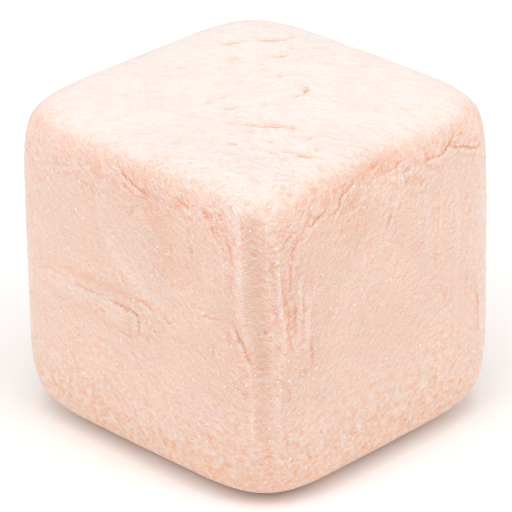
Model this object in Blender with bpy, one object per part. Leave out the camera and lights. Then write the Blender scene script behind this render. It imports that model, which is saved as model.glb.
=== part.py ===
"""A cube marshmallow, modelled as one soft block.

A slab of whipped sugar foam is sawn into cubes and rolled in starch. A cube springs
back after the saw: its faces crown, its edges round over and its foot settles flat.
The saw pinches its upright edges, and handling leaves a shallow dent and a few folds.

Units are metres, +Z is up, and the origin is the middle of the foot. The dented face
looks along -Y.
"""

import math

import bmesh
import bpy
from mathutils import Vector

MM = 0.001

# Size across the crowned faces; the ridges beside the pinched strips stand 0.1 mm proud
WIDTH = 30.8 * MM
DEPTH = 30.0 * MM
HEIGHT = 28.6 * MM

# How square the block stays: 2 is a ball, and larger is nearer to a sharp cube
PLAN_SQUARENESS = 5.6
TOP_SQUARENESS = 8.7
BASE_SQUARENESS = 7.1

# The block leans out or in towards its top by these shares of its half width and depth
TAPER_X = -0.016
TAPER_Y = 0.012

# The foot is pressed flat by this share of the half height
FOOT_SHARE = 0.012

# Quads along each side, and how strongly they crowd towards the rounded edges
QUADS = 28
CROWDING = 0.6

# The shallow thumb-sized dent in the -Y face, as (x, z) on that face
DENT_CENTRE = (4.8 * MM, 20.0 * MM)
DENT_REACH = (4.6 * MM, 5.6 * MM)
DENT_DEPTH = 0.40 * MM

# The pinched strip down each upright edge: a flat groove between two low ridges
STRIP_HALF_WIDTH = 1.3 * MM
RIDGE_OFFSET = 2.2 * MM
RIDGE_SHARE = 0.45
STRIP_FADE = 3.5 * MM
STRIP_DEPTHS = {(1, -1): 0.30 * MM, (-1, -1): 0.10 * MM, (1, 1): 0.10 * MM, (-1, 1): 0.14 * MM}

# Folds across the faces: the face, the points along it in millimetres, and the depth.
# The points are (x, z) on the front and back, (y, z) on the sides and (x, y) on the top.
FOLD_HALF_WIDTH = 0.85 * MM
FOLD_END_POWER = 0.5  # how gently a fold runs out at its ends
FOLDS = (
    ("front", ((-12.0, 14.8), (-7.5, 15.3), (-1.5, 15.0), (1.7, 14.8), (1.6, 12.8)), 0.30 * MM),
    ("front", ((-1.0, 27.0), (0.5, 25.9), (3.0, 24.8), (6.0, 25.4)), 0.30 * MM),
    ("right", ((-9.9, 20.0), (-10.4, 16.2), (-9.2, 14.8), (-9.0, 12.0)), 0.28 * MM),
    ("right", ((-9.0, 24.8), (-6.7, 25.6), (-4.4, 26.9)), 0.28 * MM),
    ("right", ((4.8, 25.6), (7.0, 26.0), (8.4, 27.0)), 0.28 * MM),
    ("top", ((3.0, -6.0), (5.6, -4.2), (7.8, -1.8)), 0.34 * MM),
    ("top", ((9.0, -7.8), (11.6, -4.8)), 0.26 * MM),
    ("top", ((-9.5, 3.0), (-6.0, 6.5), (-3.5, 10.0)), 0.24 * MM),
    ("back", ((-8.0, 18.5), (-3.0, 17.0), (3.5, 17.8), (7.0, 20.5)), 0.28 * MM),
    ("left", ((-8.5, 11.0), (-3.5, 12.5), (1.0, 12.0), (6.5, 9.0)), 0.28 * MM),
)

# Each face's outward direction, and the two axes its points are measured along
FACES = {
    "front": (Vector((0, -1, 0)), 0, 2),
    "back": (Vector((0, 1, 0)), 0, 2),
    "left": (Vector((-1, 0, 0)), 1, 2),
    "right": (Vector((1, 0, 0)), 1, 2),
    "top": (Vector((0, 0, 1)), 0, 1),
}
FACING = 0.35  # a point belongs to a face when its normal leans at least this far out with it

SKIN_COLOUR = (0.887, 0.624, 0.515, 1.0)
SKIN_ROUGHNESS = 0.85


def remove_all_objects():
    for old in list(bpy.data.objects):
        bpy.data.objects.remove(old, do_unlink=True)


def crowded(share):
    """Move a grid line at -1 to 1 towards the nearer end, so that edges get more quads."""
    quarter_turn = math.pi / 2 * CROWDING
    return math.sin(share * quarter_turn) / math.sin(quarter_turn)


def puffed(cube_point):
    """Map a point on the cube from -1 to 1 to the block's crowned surface."""
    x, y, z = cube_point
    upright = TOP_SQUARENESS if z > 0 else BASE_SQUARENESS
    plan = (abs(x) ** PLAN_SQUARENESS + abs(y) ** PLAN_SQUARENESS) ** (1 / PLAN_SQUARENESS)
    shrink = (plan**upright + abs(z) ** upright) ** (-1 / upright)
    x, y, z = x * shrink, y * shrink, z * shrink
    half_height = HEIGHT / (2 - FOOT_SHARE)
    return Vector(
        (
            x * WIDTH / 2 * (1 + TAPER_X * z),
            y * DEPTH / 2 * (1 + TAPER_Y * z),
            (max(z, FOOT_SHARE - 1) - (FOOT_SHARE - 1)) * half_height,
        )
    )


def bell(distance, reach):
    return math.exp(-((distance / reach) ** 2))


def dent_depth(point, normal):
    """How far the dent sinks the -Y face at a point."""
    if normal.y > -FACING:
        return 0.0
    across = (point.x - DENT_CENTRE[0]) / DENT_REACH[0]
    up = (point.z - DENT_CENTRE[1]) / DENT_REACH[1]
    return DENT_DEPTH * math.exp(-(across**2 + up**2))


def strip_depth(point):
    """How far the pinched strips sink the upright edges at a point; ridges come out negative."""
    side = (1 if point.x > 0 else -1, 1 if point.y > 0 else -1)
    outward = Vector((side[0], side[1], 0)).normalized()
    corner = Vector((side[0] * WIDTH / 2, side[1] * DEPTH / 2, 0))
    from_corner = Vector((point.x, point.y, 0)) - corner
    across = abs(from_corner.cross(outward).z)
    groove = bell(across, STRIP_HALF_WIDTH)
    ridges = RIDGE_SHARE * bell(across - RIDGE_OFFSET, STRIP_HALF_WIDTH / 2)
    fade = min(1.0, point.z / STRIP_FADE, (HEIGHT - point.z) / STRIP_FADE)
    return STRIP_DEPTHS[side] * (groove - ridges) * max(0.0, fade)


def nearest_on_path(spot, path):
    """Distance on a face from a point to a path of straight runs, and how far along it that is."""
    nearest, travelled, reached = math.inf, 0.0, 0.0
    for start, end in zip(path, path[1:]):
        run = end - start
        share = min(1.0, max(0.0, run.dot(spot - start) / run.length_squared))
        gap = (start + share * run - spot).length
        if gap < nearest:
            nearest, reached = gap, travelled + share * run.length
        travelled += run.length
    return nearest, reached / travelled


def fold_depth(point, normal):
    """How far the folds sink the faces at a point."""
    depth = 0.0
    for face, path_mm, fold in FOLDS:
        outward, first, second = FACES[face]
        if normal.dot(outward) < FACING:
            continue
        path = [Vector(place) * MM for place in path_mm]
        gap, share = nearest_on_path(Vector((point[first], point[second])), path)
        ends_fade = math.sin(math.pi * share) ** FOLD_END_POWER
        depth = max(depth, fold * ends_fade * bell(gap, FOLD_HALF_WIDTH))
    return depth


def foam_material():
    """Matt, faintly peach foam under a film of starch."""
    material = bpy.data.materials.new("peach marshmallow foam")
    material.use_nodes = True
    shader = material.node_tree.nodes["Principled BSDF"]
    shader.inputs["Base Color"].default_value = SKIN_COLOUR
    shader.inputs["Roughness"].default_value = SKIN_ROUGHNESS
    shader.inputs["Metallic"].default_value = 0.0
    return material


def make_marshmallow():
    block = bmesh.new()
    bmesh.ops.create_cube(block, size=2.0)
    bmesh.ops.subdivide_edges(block, edges=block.edges[:], cuts=QUADS - 1, use_grid_fill=True)
    for vertex in block.verts:
        vertex.co = puffed([crowded(share) for share in vertex.co])
    block.normal_update()
    sunk = []
    for vertex in block.verts:
        depth = dent_depth(vertex.co, vertex.normal)
        depth += strip_depth(vertex.co)
        depth += fold_depth(vertex.co, vertex.normal)
        sunk.append(vertex.co - depth * vertex.normal)
    for vertex, place in zip(block.verts, sunk):
        on_foot = vertex.co.z <= 0.0
        vertex.co = place
        vertex.co.z = 0.0 if on_foot else max(0.0, place.z)
    mesh = bpy.data.meshes.new("marshmallow")
    block.to_mesh(mesh)
    block.free()
    mesh.shade_smooth()
    mesh.materials.append(foam_material())
    marshmallow = bpy.data.objects.new("marshmallow", mesh)
    bpy.context.collection.objects.link(marshmallow)
    return marshmallow


def main():
    remove_all_objects()
    make_marshmallow()


main()
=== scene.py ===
"""A cube marshmallow: the puffed block with its folds, its starch clumps and a pale stage.

The block is whipped sugar foam sawn from a slab, so it has crowned faces, rounded edges
and a pinched strip down each upright edge. Starch lies thick and pale on its top, and
thin on its sides, where the pink foam shows through. Lengths are in metres unless a
name ends in MM. The face with the deepest hollow looks along -Y, and the widest side runs along X.
"""

import math
import random
from functools import partial

import bpy
import numpy as np
from bpy.props import FloatProperty, FloatVectorProperty, IntProperty, PointerProperty
from bpy.types import Operator, Panel, PropertyGroup
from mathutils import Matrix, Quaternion, Vector, noise


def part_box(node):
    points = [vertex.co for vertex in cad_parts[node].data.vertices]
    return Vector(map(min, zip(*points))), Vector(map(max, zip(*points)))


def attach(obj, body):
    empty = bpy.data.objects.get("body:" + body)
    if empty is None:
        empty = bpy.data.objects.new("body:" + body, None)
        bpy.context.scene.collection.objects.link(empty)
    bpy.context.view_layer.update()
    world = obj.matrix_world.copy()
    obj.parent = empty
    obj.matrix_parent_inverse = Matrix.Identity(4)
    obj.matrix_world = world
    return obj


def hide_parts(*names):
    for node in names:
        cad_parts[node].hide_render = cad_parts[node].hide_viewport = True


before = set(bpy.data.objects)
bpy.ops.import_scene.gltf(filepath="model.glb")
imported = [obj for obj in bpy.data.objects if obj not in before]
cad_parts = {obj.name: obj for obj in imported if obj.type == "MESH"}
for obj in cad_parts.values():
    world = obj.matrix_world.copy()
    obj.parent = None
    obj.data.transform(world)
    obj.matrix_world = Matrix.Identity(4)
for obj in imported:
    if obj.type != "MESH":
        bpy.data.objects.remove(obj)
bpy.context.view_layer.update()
LOW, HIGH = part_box("marshmallow")

bl_info = {
    "name": "Cube Marshmallow",
    "version": (1, 0, 0),
    "blender": (4, 5, 0),
    "location": "3D View > Sidebar > Marshmallow",
    "description": "Builds a starch-dusted cube marshmallow and a pale stage for it",
    "category": "Object",
}

MM = 0.001
RIDGE_PROUD = 0.1 * MM  # the ridges beside the pinched strips stand this far out of the faces
WIDTH = HIGH.x - LOW.x - 2 * RIDGE_PROUD
DEPTH = HIGH.y - LOW.y - 2 * RIDGE_PROUD
HEIGHT = HIGH.z - LOW.z


# --- Where the folds lie ----------------------------------------------------------------


def edge_side(x_sign, y_sign):
    """An upright edge as a side: its outward direction, across it, up, and its corner."""
    half = math.sqrt(0.5)
    corner = (x_sign * WIDTH / 2, y_sign * DEPTH / 2, 0)
    return (x_sign * half, y_sign * half, 0), (-y_sign * half, x_sign * half, 0), (0, 0, 1), corner


# Each side a fold can lie on: its outward direction, the two axes that points on it are
# measured along, and the place they are measured from
SIDES = {
    "front": ((0, -1, 0), (1, 0, 0), (0, 0, 1), (0, 0, 0)),
    "right": ((1, 0, 0), (0, 1, 0), (0, 0, 1), (0, 0, 0)),
    "back": ((0, 1, 0), (1, 0, 0), (0, 0, 1), (0, 0, 0)),
    "left": ((-1, 0, 0), (0, 1, 0), (0, 0, 1), (0, 0, 0)),
    "top": ((0, 0, 1), (1, 0, 0), (0, 1, 0), (0, 0, 0)),
    "front edge": edge_side(1, -1),
    "right edge": edge_side(1, 1),
    "back edge": edge_side(-1, 1),
    "left edge": edge_side(-1, -1),
}
FACES = ("front", "right", "back", "left")
EDGES = ("front edge", "right edge", "back edge", "left edge")

# How deep a fold is pressed, in millimetres
DEEP, MID, SLIGHT = 0.16, 0.11, 0.06

# The folds given one by one: on each side, by depth, the points along each fold in millimetres
FOLDS_MM = {
    "front": {
        DEEP: (
            ((-0.9, 26.9), (-0.1, 26.3), (0.9, 25.9), (1.9, 25.6), (3.1, 25.3)),
            ((10.3, 26.2), (10.8, 25.6)),
            ((-2.4, 14.8), (-0.2, 14.6), (1.0, 14.5), (1.6, 14.0), (1.6, 13.2), (1.2, 12.4)),
            ((1.4, 15.6), (2.1, 15.9), (3.4, 15.3)),
        ),
        MID: (
            ((-6.5, 14.6), (-4.5, 14.7), (-2.0, 14.8)), ((4.1, 15.4), (4.9, 15.0), (5.6, 14.5)),
            ((2.7, 13.8), (3.8, 13.6)), ((-0.9, 12.4), (0.7, 12.1)), ((2.2, 12.7), (2.7, 12.4)),
            ((-3.2, 13.6), (-1.8, 13.3)), ((-0.6, 17.6), (0.3, 16.6)),
            ((8.7, 26.1), (9.3, 25.6), (9.8, 25.2)), ((6.0, 26.4), (6.9, 25.9), (7.6, 25.9)),
            ((9.4, 25.5), (9.9, 24.7), (10.6, 23.6)), ((11.1, 24.6), (11.6, 23.3), (11.8, 22.0)),
            ((7.3, 23.4), (7.8, 22.6), (7.8, 21.5)), ((4.7, 21.8), (5.7, 21.4)),
        ),
        SLIGHT: (
            ((-11.2, 23.6), (-9.4, 24.4), (-7.3, 24.9), (-5.4, 25.4), (-3.7, 26.0), (-0.9, 26.3)),
            ((-10.7, 22.2), (-9.9, 22.4), (-9.6, 23.0)),
            ((3.0, 25.5), (4.3, 25.3), (5.6, 25.4), (7.4, 25.9)),
            ((-11.6, 21.6), (-11.3, 19.6), (-11.2, 17.8)),
            ((-10.6, 17.8), (-10.5, 16.4), (-10.0, 15.2), (-7.9, 15.0), (-6.0, 14.6)),
            ((6.8, 21.8), (7.3, 20.8), (7.6, 20.0)), ((-10.0, 10.6), (-9.7, 9.2)),
            ((-3.6, 10.7), (-1.8, 10.4)), ((0.6, 11.3), (3.4, 10.6)), ((-4.1, 19.7), (-3.3, 18.7)),
            ((8.4, 16.8), (10.0, 17.0), (11.4, 16.9)), ((11.6, 11.5), (12.4, 11.0), (12.8, 10.5)),
        ),
    },
    "front edge": {
        DEEP: (
            ((-2.6, 17.2), (-1.9, 16.4), (-1.4, 15.2), (-1.1, 14.3), (-0.8, 13.3)),
        ),
        MID: (
            ((0.1, 16.4), (0.5, 16.1)), ((1.5, 21.0), (1.9, 18.9), (2.0, 17.4)),
        ),
        SLIGHT: (
            ((-0.9, 24.1), (-0.1, 24.0)), ((-0.8, 23.1), (-0.1, 23.0)), ((-0.7, 20.7), (0.1, 20.6)),
            ((-0.7, 19.6), (0.2, 19.5)), ((-0.2, 17.6), (0.4, 17.5)),
            ((-0.6, 13.3), (0.0, 13.0), (0.5, 13.2)), ((2.3, 16.6), (2.4, 15.2), (2.4, 14.2)),
            ((-3.9, 25.3), (-3.4, 24.5), (-2.8, 23.4), (-2.6, 21.9)),
            ((0.7, 23.3), (1.4, 23.5), (2.0, 23.9)), ((-0.9, 8.0), (-0.3, 7.7), (0.4, 7.3)),
            ((0.6, 4.4), (0.1, 4.0)),
        ),
    },
    "right": {
        DEEP: (
            ((-9.5, 24.4), (-8.3, 24.9), (-6.9, 25.6)),
            ((-6.9, 24.2), (-5.8, 25.2), (-5.3, 25.9), (-4.4, 26.2), (-3.4, 26.8)),
            ((5.0, 25.8), (6.4, 25.7), (8.1, 26.6), (8.4, 27.1)),
            ((7.0, 26.0), (8.6, 25.5), (10.5, 24.8), (11.8, 24.6)),
            ((4.2, 25.6), (5.0, 25.8), (5.6, 25.8)),
        ),
        MID: (
            ((-1.4, 26.2), (-0.6, 26.1), (0.9, 26.2), (1.8, 26.5), (2.7, 26.5)),
            ((3.9, 24.4), (3.7, 24.0), (3.3, 23.8)), ((1.7, 25.6), (2.7, 25.7)),
            ((-1.9, 26.7), (-0.7, 27.0), (0.2, 27.2)), ((-9.3, 15.4), (-9.1, 13.3), (-9.1, 12.1)),
            ((-11.9, 22.8), (-11.8, 20.7), (-11.6, 19.0), (-11.6, 17.4), (-11.7, 16.0)),
            ((-9.8, 20.1), (-9.9, 18.7), (-10.0, 17.3)),
            ((-11.2, 22.7), (-11.0, 21.4), (-11.1, 20.2), (-11.2, 19.1)),
            ((-11.4, 19.1), (-11.2, 17.6), (-11.4, 16.4), (-11.2, 15.1)),
            ((-10.6, 18.8), (-10.7, 17.2), (-10.6, 15.5)),
            ((-10.5, 24.9), (-11.2, 24.1), (-11.6, 23.4)),
            ((-10.1, 24.1), (-10.6, 23.3), (-11.1, 22.5)), ((-8.7, 25.4), (-9.5, 24.6), (-10.2, 24.1)),
            ((-10.5, 22.9), (-10.9, 22.3)), ((-6.3, 25.9), (-5.5, 26.5), (-4.2, 26.8)),
            ((0.2, 23.1), (-0.2, 22.2), (-0.6, 21.2)), ((10.5, 13.6), (10.8, 9.9), (10.6, 6.9)),
            ((8.2, 26.7), (9.0, 26.4), (9.0, 25.9)),
        ),
        SLIGHT: (
            ((-12.3, 24.1), (-11.2, 24.1), (-10.1, 23.8)), ((-12.0, 23.4), (-10.9, 23.7), (-9.8, 23.5)),
            ((-9.6, 12.6), (-10.5, 11.9)), ((5.6, 22.9), (5.5, 20.8), (5.4, 18.7)),
            ((5.4, 18.3), (5.2, 17.0), (5.3, 15.7)), ((5.5, 15.0), (6.4, 12.6)),
            ((9.1, 21.9), (9.5, 19.4), (9.5, 17.8), (9.2, 15.5)), ((9.3, 14.9), (8.9, 11.6)),
            ((7.2, 10.2), (7.1, 8.4)), ((-2.6, 16.8), (-3.0, 16.0)),
            ((-5.9, 24.3), (-3.5, 24.5), (-1.8, 24.9)), ((-6.3, 22.5), (-4.7, 23.1)),
            ((6.3, 12.5), (6.6, 14.0)), ((-11.6, 7.8), (-11.5, 6.6), (-11.4, 5.5)),
        ),
    },
    "top": {
        DEEP: (
            ((4.9, -4.6), (5.6, -3.9), (6.2, -3.5), (6.8, -2.9)),
            ((10.6, -6.2), (11.3, -5.9), (12.0, -5.3)),
        ),
        MID: (
            ((3.7, -5.1), (4.6, -4.6), (5.2, -4.2)), ((6.8, -3.0), (7.6, -2.8)),
            ((5.3, -8.5), (5.8, -8.4), (6.2, -7.9)), ((8.6, -7.4), (9.3, -7.4), (9.6, -6.9)),
            ((9.6, -6.6), (10.4, -6.0)), ((7.5, -6.1), (8.0, -5.8)),
            ((-9.0, 5.2), (-8.3, 6.0), (-7.8, 7.0)),
            ((-7.7, 7.7), (-6.6, 8.4), (-5.8, 9.4), (-5.6, 10.6)), ((-6.1, 3.0), (-5.5, 4.2)),
            ((-4.5, 6.0), (-3.6, 6.4), (-3.2, 7.6)), ((1.3, 3.6), (2.8, 3.5), (3.2, 2.2), (2.8, 1.1)),
            ((2.3, -1.4), (2.7, -0.8)),
        ),
        SLIGHT: (
            ((-1.4, 2.5), (-0.8, 3.5), (-0.1, 4.8)),
            ((-0.3, -3.1), (0.6, -3.8), (1.1, -3.4), (1.0, -2.7)),
            ((9.4, -4.1), (9.6, -3.5), (9.6, -2.6)), ((13.0, -6.3), (13.5, -6.1), (13.7, -5.5)),
            ((2.5, -5.7), (3.6, -5.2)), ((11.1, -11.8), (11.8, -11.0)),
        ),
    },
    "back": {
        DEEP: (
            ((-8.0, 18.7), (-5.2, 17.6), (-2.6, 17.2)), ((3.0, 26.9), (4.4, 25.9), (6.4, 25.4)),
            ((-10.4, 26.2), (-9.3, 25.6), (-8.8, 24.8)),
        ),
        MID: (
            ((-1.9, 16.6), (1.2, 17.5), (3.8, 17.9)), ((5.1, 19.2), (7.3, 20.8)),
            ((-3.8, 9.4), (-1.2, 8.7), (0.6, 9.2)), ((8.9, 12.8), (9.6, 10.4)),
        ),
    },
    "left": {
        DEEP: (
            ((-8.5, 11.2), (-6.2, 12.4), (-3.4, 12.5)), ((5.6, 26.8), (6.8, 25.8), (8.7, 25.3)),
            ((-3.9, 26.0), (-2.3, 25.5), (-1.5, 24.6)),
        ),
        MID: (
            ((-2.2, 12.9), (0.8, 12.0), (4.1, 10.6)), ((-9.4, 22.6), (-8.9, 20.4)),
            ((2.9, 18.8), (5.2, 17.5), (6.1, 17.6)),
        ),
    },
}

# The strip pinched down each upright edge: its depth, and its left and right borders as how
# puckered the skin is beside it and the points down it, in millimetres
STRIPS_MM = {
    "front edge": (
        0.34,
        (0.3, ((-1.6, 26.8), (-1.5, 20.3), (-1.5, 17.9), (-1.2, 16.0), (-0.9, 13.0), (-0.7, 3.0))),
        (0.8, ((0.5, 26.8), (0.6, 21.8), (0.8, 19.2), (0.9, 16.0), (1.1, 3.0))),
    ),
    "right edge": (
        0.15,
        (0.5, ((-1.6, 26.5), (-1.4, 14.0), (-1.7, 3.0))),
        (0.5, ((1.5, 26.5), (1.7, 15.0), (1.5, 3.0))),
    ),
    "back edge": (
        0.18,
        (0.8, ((-0.9, 26.4), (-1.3, 21.0), (-1.5, 15.4), (-0.9, 10.0), (-0.5, 3.0))),
        (0.7, ((1.2, 26.4), (0.8, 20.0), (0.9, 13.0), (1.1, 8.0), (0.8, 3.0))),
    ),
    "left edge": (
        0.14,
        (0.5, ((-1.5, 26.4), (-1.3, 12.0), (-1.6, 3.0))),
        (0.5, ((1.6, 26.4), (1.4, 16.0), (1.7, 3.0))),
    ),
}
STRIP_LOW, STRIP_HIGH = 2.5 * MM, 26.8 * MM
STRIP_BORDER = 0.5 * MM  # a strip's border is this wide
STRIP_CRUMPLE = 2.0 * MM  # the skin is puckered this far beside a strip

# The band under the top rim where the skin is crumpled
RIM_MIDDLE, RIM_REACH = 25.4 * MM, 1.7 * MM

# The ridges, and the hollows with a height below 0: the side each lies on, its height, its
# half width and the points along it, in millimetres
RIDGES_MM = (
    ("front edge", 0.15, 0.45, ((-1.8, 26.6), (-1.7, 20.3), (-1.6, 17.9), (-1.4, 16.4), (-1.0, 14.4))),
    ("front edge", 0.08, 0.30, ((-0.9, 12.4), (-0.8, 9.0), (-0.9, 5.0))),
    ("front edge", 0.26, 0.34, ((1.2, 24.2), (1.4, 22.4), (1.6, 18.6), (1.8, 15.4), (1.5, 12.6))),
    ("front edge", 0.08, 0.25, ((1.5, 12.6), (1.3, 9.8), (1.5, 6.0))),
    ("front edge", -0.08, 0.80, ((-0.2, 14.4), (0.1, 13.2), (0.1, 12.2))),
    ("front", -0.52, 2.10, ((2.0, 26.0), (2.8, 23.6), (3.9, 20.8), (5.4, 17.4))),
    ("front", 0.11, 0.80, ((-2.5, 24.4), (-2.3, 22.2), (-1.6, 19.8), (0.2, 17.8), (3.4, 16.0))),
    ("front", 0.05, 0.40, ((8.8, 25.4), (9.0, 22.4), (9.3, 20.0), (9.8, 18.0))),
    ("front", 0.04, 0.35, ((10.6, 24.4), (10.9, 21.0), (11.0, 18.6))),
    ("front", 0.20, 0.90, ((-3.4, 13.6), (-1.2, 13.4), (0.6, 13.1))),
    ("front", 0.10, 0.70, ((-9.6, 14.1), (-7.0, 13.7), (-4.6, 13.8), (-2.4, 13.9))),
    ("front", -0.12, 0.70, ((-8.2, 15.9), (-5.8, 15.5), (-3.0, 15.6), (0.4, 15.5), (2.4, 14.6))),
    ("front", 0.08, 0.35, ((1.9, 14.1), (2.3, 13.1))),
    ("right", 0.20, 0.30, ((-10.1, 20.4), (-10.2, 18.6), (-10.3, 16.8))),
    ("right", 0.16, 0.28, ((-11.4, 22.6), (-11.3, 20.8), (-11.4, 19.0))),
    ("right", 0.14, 0.30, ((-9.3, 18.6), (-9.5, 16.4), (-9.6, 13.8))),
    ("right", 0.18, 0.60, ((13.4, 26.0), (13.0, 20.0), (13.3, 13.0), (13.2, 5.0))),
    ("right", -0.25, 2.20, ((-5.8, 25.4), (-4.0, 22.8), (-2.4, 19.6))),
    ("right", -0.30, 1.10, ((-3.6, 26.3), (-1.9, 26.3), (-0.1, 26.5), (2.4, 26.7))),
    ("right", 0.07, 0.45, ((3.9, 24.4), (4.3, 20.5), (4.4, 15.6))),
    ("right", 0.07, 0.40, ((7.6, 23.6), (8.0, 19.0), (7.7, 13.0))),
    ("right edge", 0.20, 0.85, ((-1.6, 26.5), (-1.4, 14.0), (-1.7, 3.0))),
    ("right edge", 0.20, 0.85, ((1.5, 26.5), (1.7, 15.0), (1.5, 3.0))),
    ("back edge", 0.16, 0.32, ((-1.1, 26.0), (-1.5, 21.0), (-1.7, 15.4))),
    ("back edge", 0.09, 0.30, ((-1.2, 10.2), (-0.7, 5.0))),
    ("back edge", 0.14, 0.32, ((1.0, 22.4), (1.1, 17.0), (1.2, 12.4))),
    ("back", -0.40, 2.30, ((-1.2, 21.0), (2.4, 18.2), (5.4, 16.4))),
    ("back", 0.12, 0.60, ((-4.4, 21.6), (-1.4, 17.4), (3.0, 14.6))),
    ("left edge", 0.08, 0.45, ((-1.5, 26.4), (-1.3, 12.0), (-1.6, 3.0))),
    ("left edge", 0.08, 0.45, ((1.6, 26.4), (1.4, 16.0), (1.7, 3.0))),
    ("left", -0.28, 2.60, ((-3.4, 23.4), (-2.2, 19.0), (-1.2, 15.4))),
    ("left", 0.06, 1.10, ((-6.6, 23.2), (-5.8, 18.4), (-3.6, 13.8))),
)
RIDGE_UNEVEN = 0.04 * MM  # a ridge's height wavers by about this much

# The saw drew the skin of each pair of faces one way: the axis these faces look along,
# the turn about it that lays the streaks level, and the axis they then run along
FLOWS = (
    ((0, 1, 0), math.radians(-45), (1, 0, 0)),
    ((1, 0, 0), math.radians(-52), (0, 1, 0)),
    ((0, 0, 1), math.radians(-28), (1, 0, 0)),
)

# The painted light and shade on the skin's slopes come from this direction, above its front edge
PAINTED_LIGHT_FROM = (0.5, -0.5, 0.7)


# --- Shared helpers ---------------------------------------------------------------------

# The kinds of node used most, and the setting of a Map Range that eases at both ends
MATH, VECTOR_MATH, MAP_RANGE = "ShaderNodeMath", "ShaderNodeVectorMath", "ShaderNodeMapRange"
NOISE, MIX, SEPARATE = "ShaderNodeTexNoise", "ShaderNodeMix", "ShaderNodeSeparateXYZ"
EASED = {"interpolation_type": "SMOOTHSTEP"}


def linear(hex_colour):
    """An sRGB hex value as the linear colour that a shader takes."""
    channels = [int(hex_colour[i : i + 2], 16) / 255 for i in (1, 3, 5)]
    return [c / 12.92 if c <= 0.04045 else ((c + 0.055) / 1.055) ** 2.4 for c in channels] + [1.0]


def add_node(tree, kind, inputs=(), **settings):
    """Add a node with its settings, set or link its inputs, and return its outputs.

    The inputs are a list from the first on, or a dictionary by number or name.
    """
    made = tree.nodes.new(kind)
    for name, value in settings.items():
        setattr(made, name, value)
    for key, value in inputs.items() if isinstance(inputs, dict) else enumerate(inputs):
        if isinstance(value, bpy.types.NodeSocket):
            tree.links.new(value, made.inputs[key])
        else:
            made.inputs[key].default_value = value
    return made.outputs


def new_tree(name, sizes):
    """An empty Geometry Nodes tree with a named input for each of these sizes."""
    tree = bpy.data.node_groups.new(name, "GeometryNodeTree")
    tree.interface.new_socket("Geometry", in_out="INPUT", socket_type="NodeSocketGeometry")
    tree.interface.new_socket("Geometry", in_out="OUTPUT", socket_type="NodeSocketGeometry")
    for label, value in sizes.items():
        kind = "NodeSocketInt" if isinstance(value, int) else "NodeSocketFloat"
        tree.interface.new_socket(label, in_out="INPUT", socket_type=kind)
    return tree


def end_tree(node, geometry, material):
    """End a tree in real meshes that carry the material."""
    plain = node("GeometryNodeRealizeInstances", {"Geometry": geometry})[0]
    coated = node("GeometryNodeSetMaterial", {"Geometry": plain, "Material": material})[0]
    node("NodeGroupOutput", [coated])


def grow(piece, tree, sizes):
    """Run a tree on a piece with these sizes, and keep the result as its plain mesh."""
    modifier = piece.modifiers.new(tree.name, "NODES")
    modifier.node_group = tree
    for socket in tree.interface.items_tree:
        if socket.in_out == "INPUT" and socket.name in sizes:
            modifier[socket.identifier] = sizes[socket.name]
    graph = bpy.context.evaluated_depsgraph_get()
    mesh = bpy.data.meshes.new_from_object(piece.evaluated_get(graph))
    piece.modifiers.remove(modifier)
    piece.data = mesh
    mesh.name = piece.name


def new_piece(name, data):
    """A new object in the scene with this mesh, light or camera."""
    piece = bpy.data.objects.new(name, data)
    bpy.context.scene.collection.objects.link(piece)
    return piece


def streaks(tree, place, facing, length, breadth, distortion=0.0):
    """Nodes for a value near 0 that is drawn out along the saw's flow on every face."""
    node = partial(add_node, tree)
    total = None
    for axis, turn, run in FLOWS:
        level = node("ShaderNodeVectorRotate", {"Vector": place, "Axis": axis, "Angle": turn})[0]
        scales = [1 / length if along else 1 / breadth for along in run]
        drawn = node(VECTOR_MATH, [level, scales], operation="MULTIPLY")[0]
        wave = node(NOISE, {"Vector": drawn, "Scale": 1.0, "Detail": 2.0, "Distortion": distortion})[0]
        centred = node(MATH, [wave, 0.5], operation="SUBTRACT")[0]
        toward = node(VECTOR_MATH, [facing, axis], operation="DOT_PRODUCT")[1]
        share = node(MATH, [toward, toward], operation="MULTIPLY")[0]
        part = [centred, share, total if total else 0.0]
        total = node(MATH, part, operation="MULTIPLY_ADD")[0]
    return total


# --- The block's form -------------------------------------------------------------------


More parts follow.
